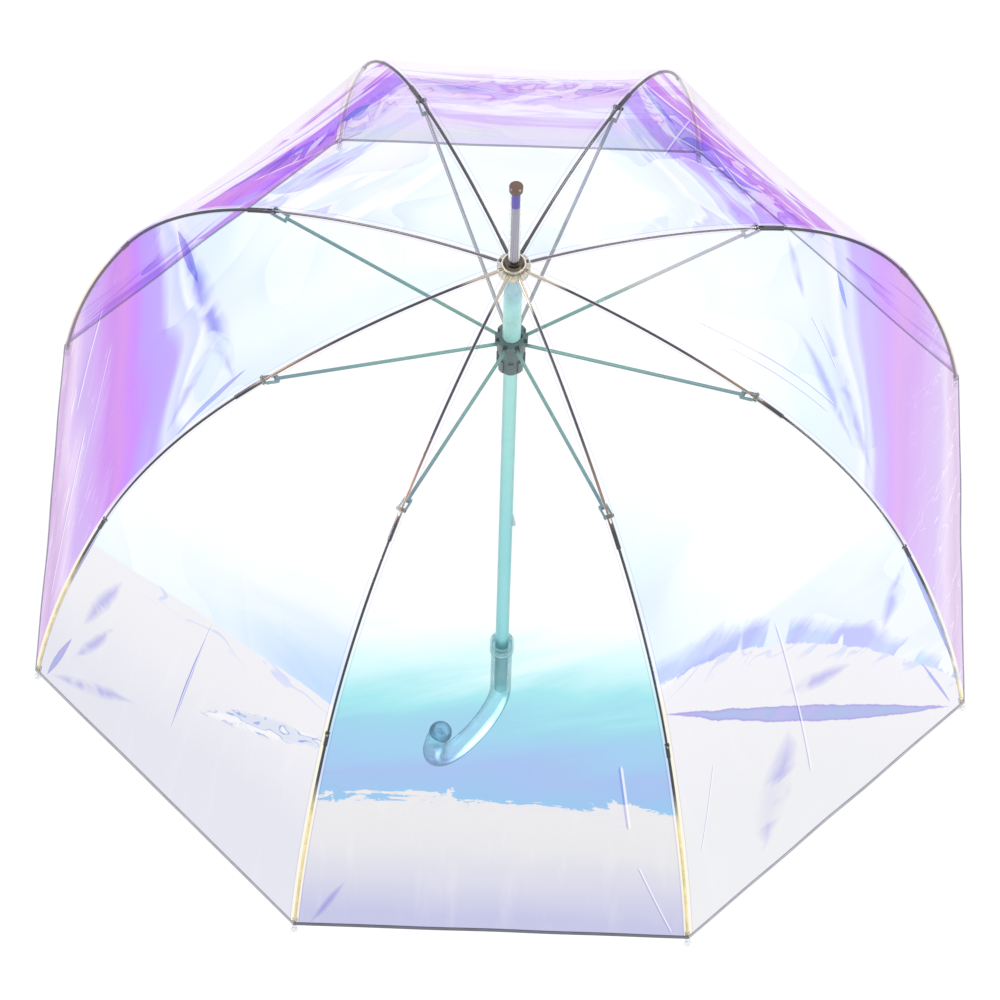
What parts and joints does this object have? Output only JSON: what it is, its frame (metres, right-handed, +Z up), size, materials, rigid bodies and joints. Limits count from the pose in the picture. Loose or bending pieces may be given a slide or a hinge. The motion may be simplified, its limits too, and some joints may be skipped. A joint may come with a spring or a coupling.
{
  "type": "clear bubble umbrella",
  "caption": "Deep clear dome umbrella with curved folding ribs, stretchers on a sliding runner, a straight shaft with ferrule and a clear crook handle.",
  "frame": {"origin": "middle of the straight grip, on the shaft's axis", "axes": "+Z up along the shaft to the ferrule, crook pointing to -Y, open at rest"},
  "size_m": [0.7942, 0.7942, 0.87],
  "materials": {
    "film": "clear iridescent film",
    "rib_steel": "satin grey",
    "clear_tip": "clear",
    "stretcher_steel": "satin grey",
    "shaft_metal": "polished",
    "ferrule_metal": "polished",
    "cap_metal": "polished champagne",
    "sleeve_plastic": "satin",
    "hub_plastic": "moulded, satin",
    "spring_steel": "bright",
    "clear_acrylic": "clear, polished",
    "end_plastic": "translucent dark"
  },
  "bodies": {
    "frame": {"shaft": "shaft_metal", "ferrule": "ferrule_metal", "ferrule_tip": "ferrule_metal", "top_cap": "cap_metal", "crown": "hub_plastic", "stop_sleeve": "sleeve_plastic", "handle": "clear_acrylic", "handle_collar": "clear_acrylic", "handle_end": "end_plastic"},
    "runner": {"runner": "hub_plastic"},
    "catch_top": {"catch_top": "spring_steel"},
    "catch_bottom": {"catch_bottom": "spring_steel"},
    "rib_upper_1": {"rib_upper_1": "rib_steel", "canopy_panel_1": "film"},
    "rib_mid_1": {"rib_mid_1": "rib_steel"},
    "rib_lower_1": {"rib_lower_1": "rib_steel", "rib_tip_1": "clear_tip"},
    "stretcher_1": {"stretcher_1": "stretcher_steel"},
    "rib_upper_2": {"rib_upper_2": "rib_steel", "canopy_panel_2": "film"},
    "rib_mid_2": {"rib_mid_2": "rib_steel"},
    "rib_lower_2": {"rib_lower_2": "rib_steel", "rib_tip_2": "clear_tip"},
    "stretcher_2": {"stretcher_2": "stretcher_steel"},
    "rib_upper_3": {"rib_upper_3": "rib_steel", "canopy_panel_3": "film"},
    "rib_mid_3": {"rib_mid_3": "rib_steel"},
    "rib_lower_3": {"rib_lower_3": "rib_steel", "rib_tip_3": "clear_tip"},
    "stretcher_3": {"stretcher_3": "stretcher_steel"},
    "rib_upper_4": {"rib_upper_4": "rib_steel", "canopy_panel_4": "film"},
    "rib_mid_4": {"rib_mid_4": "rib_steel"},
    "rib_lower_4": {"rib_lower_4": "rib_steel", "rib_tip_4": "clear_tip"},
    "stretcher_4": {"stretcher_4": "stretcher_steel"},
    "rib_upper_5": {"rib_upper_5": "rib_steel", "canopy_panel_5": "film"},
    "rib_mid_5": {"rib_mid_5": "rib_steel"},
    "rib_lower_5": {"rib_lower_5": "rib_steel", "rib_tip_5": "clear_tip"},
    "stretcher_5": {"stretcher_5": "stretcher_steel"},
    "rib_upper_6": {"rib_upper_6": "rib_steel", "canopy_panel_6": "film"},
    "rib_mid_6": {"rib_mid_6": "rib_steel"},
    "rib_lower_6": {"rib_lower_6": "rib_steel", "rib_tip_6": "clear_tip"},
    "stretcher_6": {"stretcher_6": "stretcher_steel"},
    "rib_upper_7": {"rib_upper_7": "rib_steel", "canopy_panel_7": "film"},
    "rib_mid_7": {"rib_mid_7": "rib_steel"},
    "rib_lower_7": {"rib_lower_7": "rib_steel", "rib_tip_7": "clear_tip"},
    "stretcher_7": {"stretcher_7": "stretcher_steel"},
    "rib_upper_8": {"rib_upper_8": "rib_steel", "canopy_panel_8": "film"},
    "rib_mid_8": {"rib_mid_8": "rib_steel"},
    "rib_lower_8": {"rib_lower_8": "rib_steel", "rib_tip_8": "clear_tip"},
    "stretcher_8": {"stretcher_8": "stretcher_steel"}
  },
  "joints": [
    {"name": "runner_slide", "type": "slide", "parent": "frame", "child": "runner", "axis": [0, 0, -1], "range_m": [0, 0.3038]},
    {"name": "catch_top_press", "type": "slide", "parent": "frame", "child": "catch_top", "axis": [-0.7071, -0.7071, 0], "range_m": [0, 0.0024], "stiffness_N_per_m": 300, "springref_m": -0.002},
    {"name": "catch_bottom_press", "type": "slide", "parent": "frame", "child": "catch_bottom", "axis": [-0.7071, -0.7071, 0], "range_m": [0, 0.0024], "stiffness_N_per_m": 300, "springref_m": -0.002},
    {"name": "rib_1_root", "type": "hinge", "parent": "frame", "child": "rib_upper_1", "pos_m": [0.01146, 0.00475, 0.654], "axis": [-0.3827, 0.9239, 0], "range_deg": [0, 66.01], "deforming": ["canopy_panel_1"]},
    {"name": "rib_1_bend", "type": "hinge", "parent": "rib_upper_1", "child": "rib_mid_1", "pos_m": [0.19741, 0.08177, 0.60007], "axis": [0.3827, -0.9239, 0], "range_deg": [0, 25.91]},
    {"name": "rib_1_knee", "type": "hinge", "parent": "rib_mid_1", "child": "rib_lower_1", "pos_m": [0.32723, 0.13554, 0.46437], "axis": [0.3827, -0.9239, 0], "range_deg": [0, 25.01]},
    {"name": "stretcher_1_pivot", "type": "hinge", "parent": "rib_upper_1", "child": "stretcher_1", "pos_m": [0.19741, 0.08177, 0.60007], "axis": [0.3827, -0.9239, 0], "range_deg": [0, 132.01]},
    {"name": "rib_2_root", "type": "hinge", "parent": "frame", "child": "rib_upper_2", "pos_m": [0.00475, 0.01146, 0.654], "axis": [-0.9239, 0.3827, 0], "range_deg": [0, 66.01], "deforming": ["canopy_panel_2"]},
    {"name": "rib_2_bend", "type": "hinge", "parent": "rib_upper_2", "child": "rib_mid_2", "pos_m": [0.08177, 0.19741, 0.60007], "axis": [0.9239, -0.3827, 0], "range_deg": [0, 25.91]},
    {"name": "rib_2_knee", "type": "hinge", "parent": "rib_mid_2", "child": "rib_lower_2", "pos_m": [0.13554, 0.32723, 0.46437], "axis": [0.9239, -0.3827, 0], "range_deg": [0, 25.01]},
    {"name": "stretcher_2_pivot", "type": "hinge", "parent": "rib_upper_2", "child": "stretcher_2", "pos_m": [0.08177, 0.19741, 0.60007], "axis": [0.9239, -0.3827, 0], "range_deg": [0, 132.01]},
    {"name": "rib_3_root", "type": "hinge", "parent": "frame", "child": "rib_upper_3", "pos_m": [-0.00475, 0.01146, 0.654], "axis": [-0.9239, -0.3827, 0], "range_deg": [0, 66.01], "deforming": ["canopy_panel_3"]},
    {"name": "rib_3_bend", "type": "hinge", "parent": "rib_upper_3", "child": "rib_mid_3", "pos_m": [-0.08177, 0.19741, 0.60007], "axis": [0.9239, 0.3827, 0], "range_deg": [0, 25.91]},
    {"name": "rib_3_knee", "type": "hinge", "parent": "rib_mid_3", "child": "rib_lower_3", "pos_m": [-0.13554, 0.32723, 0.46437], "axis": [0.9239, 0.3827, 0], "range_deg": [0, 25.01]},
    {"name": "stretcher_3_pivot", "type": "hinge", "parent": "rib_upper_3", "child": "stretcher_3", "pos_m": [-0.08177, 0.19741, 0.60007], "axis": [0.9239, 0.3827, 0], "range_deg": [0, 132.01]},
    {"name": "rib_4_root", "type": "hinge", "parent": "frame", "child": "rib_upper_4", "pos_m": [-0.01146, 0.00475, 0.654], "axis": [-0.3827, -0.9239, 0], "range_deg": [0, 66.01], "deforming": ["canopy_panel_4"]},
    {"name": "rib_4_bend", "type": "hinge", "parent": "rib_upper_4", "child": "rib_mid_4", "pos_m": [-0.19741, 0.08177, 0.60007], "axis": [0.3827, 0.9239, 0], "range_deg": [0, 25.91]},
    {"name": "rib_4_knee", "type": "hinge", "parent": "rib_mid_4", "child": "rib_lower_4", "pos_m": [-0.32723, 0.13554, 0.46437], "axis": [0.3827, 0.9239, 0], "range_deg": [0, 25.01]},
    {"name": "stretcher_4_pivot", "type": "hinge", "parent": "rib_upper_4", "child": "stretcher_4", "pos_m": [-0.19741, 0.08177, 0.60007], "axis": [0.3827, 0.9239, 0], "range_deg": [0, 132.01]},
    {"name": "rib_5_root", "type": "hinge", "parent": "frame", "child": "rib_upper_5", "pos_m": [-0.01146, -0.00475, 0.654], "axis": [0.3827, -0.9239, 0], "range_deg": [0, 66.01], "deforming": ["canopy_panel_5"]},
    {"name": "rib_5_bend", "type": "hinge", "parent": "rib_upper_5", "child": "rib_mid_5", "pos_m": [-0.19741, -0.08177, 0.60007], "axis": [-0.3827, 0.9239, 0], "range_deg": [0, 25.91]},
    {"name": "rib_5_knee", "type": "hinge", "parent": "rib_mid_5", "child": "rib_lower_5", "pos_m": [-0.32723, -0.13554, 0.46437], "axis": [-0.3827, 0.9239, 0], "range_deg": [0, 25.01]},
    {"name": "stretcher_5_pivot", "type": "hinge", "parent": "rib_upper_5", "child": "stretcher_5", "pos_m": [-0.19741, -0.08177, 0.60007], "axis": [-0.3827, 0.9239, 0], "range_deg": [0, 132.01]},
    {"name": "rib_6_root", "type": "hinge", "parent": "frame", "child": "rib_upper_6", "pos_m": [-0.00475, -0.01146, 0.654], "axis": [0.9239, -0.3827, 0], "range_deg": [0, 66.01], "deforming": ["canopy_panel_6"]},
    {"name": "rib_6_bend", "type": "hinge", "parent": "rib_upper_6", "child": "rib_mid_6", "pos_m": [-0.08177, -0.19741, 0.60007], "axis": [-0.9239, 0.3827, 0], "range_deg": [0, 25.91]},
    {"name": "rib_6_knee", "type": "hinge", "parent": "rib_mid_6", "child": "rib_lower_6", "pos_m": [-0.13554, -0.32723, 0.46437], "axis": [-0.9239, 0.3827, 0], "range_deg": [0, 25.01]},
    {"name": "stretcher_6_pivot", "type": "hinge", "parent": "rib_upper_6", "child": "stretcher_6", "pos_m": [-0.08177, -0.19741, 0.60007], "axis": [-0.9239, 0.3827, 0], "range_deg": [0, 132.01]},
    {"name": "rib_7_root", "type": "hinge", "parent": "frame", "child": "rib_upper_7", "pos_m": [0.00475, -0.01146, 0.654], "axis": [0.9239, 0.3827, 0], "range_deg": [0, 66.01], "deforming": ["canopy_panel_7"]},
    {"name": "rib_7_bend", "type": "hinge", "parent": "rib_upper_7", "child": "rib_mid_7", "pos_m": [0.08177, -0.19741, 0.60007], "axis": [-0.9239, -0.3827, 0], "range_deg": [0, 25.91]},
    {"name": "rib_7_knee", "type": "hinge", "parent": "rib_mid_7", "child": "rib_lower_7", "pos_m": [0.13554, -0.32723, 0.46437], "axis": [-0.9239, -0.3827, 0], "range_deg": [0, 25.01]},
    {"name": "stretcher_7_pivot", "type": "hinge", "parent": "rib_upper_7", "child": "stretcher_7", "pos_m": [0.08177, -0.19741, 0.60007], "axis": [-0.9239, -0.3827, 0], "range_deg": [0, 132.01]},
    {"name": "rib_8_root", "type": "hinge", "parent": "frame", "child": "rib_upper_8", "pos_m": [0.01146, -0.00475, 0.654], "axis": [0.3827, 0.9239, 0], "range_deg": [0, 66.01], "deforming": ["canopy_panel_8"]},
    {"name": "rib_8_bend", "type": "hinge", "parent": "rib_upper_8", "child": "rib_mid_8", "pos_m": [0.19741, -0.08177, 0.60007], "axis": [-0.3827, -0.9239, 0], "range_deg": [0, 25.91]},
    {"name": "rib_8_knee", "type": "hinge", "parent": "rib_mid_8", "child": "rib_lower_8", "pos_m": [0.32723, -0.13554, 0.46437], "axis": [-0.3827, -0.9239, 0], "range_deg": [0, 25.01]},
    {"name": "stretcher_8_pivot", "type": "hinge", "parent": "rib_upper_8", "child": "stretcher_8", "pos_m": [0.19741, -0.08177, 0.60007], "axis": [-0.3827, -0.9239, 0], "range_deg": [0, 132.01]}
  ],
  "couplings": [
    {"joint": "rib_1_root", "follows": "runner_slide", "rad_per_m": 3.7917},
    {"joint": "rib_1_bend", "follows": "runner_slide", "rad_per_m": 1.488},
    {"joint": "rib_1_knee", "follows": "runner_slide", "rad_per_m": 1.4363},
    {"joint": "stretcher_1_pivot", "follows": "runner_slide", "rad_per_m": 7.5834},
    {"joint": "rib_2_root", "follows": "runner_slide", "rad_per_m": 3.7917},
    {"joint": "rib_2_bend", "follows": "runner_slide", "rad_per_m": 1.488},
    {"joint": "rib_2_knee", "follows": "runner_slide", "rad_per_m": 1.4363},
    {"joint": "stretcher_2_pivot", "follows": "runner_slide", "rad_per_m": 7.5834},
    {"joint": "rib_3_root", "follows": "runner_slide", "rad_per_m": 3.7917},
    {"joint": "rib_3_bend", "follows": "runner_slide", "rad_per_m": 1.488},
    {"joint": "rib_3_knee", "follows": "runner_slide", "rad_per_m": 1.4363},
    {"joint": "stretcher_3_pivot", "follows": "runner_slide", "rad_per_m": 7.5834},
    {"joint": "rib_4_root", "follows": "runner_slide", "rad_per_m": 3.7917},
    {"joint": "rib_4_bend", "follows": "runner_slide", "rad_per_m": 1.488},
    {"joint": "rib_4_knee", "follows": "runner_slide", "rad_per_m": 1.4363},
    {"joint": "stretcher_4_pivot", "follows": "runner_slide", "rad_per_m": 7.5834},
    {"joint": "rib_5_root", "follows": "runner_slide", "rad_per_m": 3.7917},
    {"joint": "rib_5_bend", "follows": "runner_slide", "rad_per_m": 1.488},
    {"joint": "rib_5_knee", "follows": "runner_slide", "rad_per_m": 1.4363},
    {"joint": "stretcher_5_pivot", "follows": "runner_slide", "rad_per_m": 7.5834},
    {"joint": "rib_6_root", "follows": "runner_slide", "rad_per_m": 3.7917},
    {"joint": "rib_6_bend", "follows": "runner_slide", "rad_per_m": 1.488},
    {"joint": "rib_6_knee", "follows": "runner_slide", "rad_per_m": 1.4363},
    {"joint": "stretcher_6_pivot", "follows": "runner_slide", "rad_per_m": 7.5834},
    {"joint": "rib_7_root", "follows": "runner_slide", "rad_per_m": 3.7917},
    {"joint": "rib_7_bend", "follows": "runner_slide", "rad_per_m": 1.488},
    {"joint": "rib_7_knee", "follows": "runner_slide", "rad_per_m": 1.4363},
    {"joint": "stretcher_7_pivot", "follows": "runner_slide", "rad_per_m": 7.5834},
    {"joint": "rib_8_root", "follows": "runner_slide", "rad_per_m": 3.7917},
    {"joint": "rib_8_bend", "follows": "runner_slide", "rad_per_m": 1.488},
    {"joint": "rib_8_knee", "follows": "runner_slide", "rad_per_m": 1.4363},
    {"joint": "stretcher_8_pivot", "follows": "runner_slide", "rad_per_m": 7.5834}
  ]
}
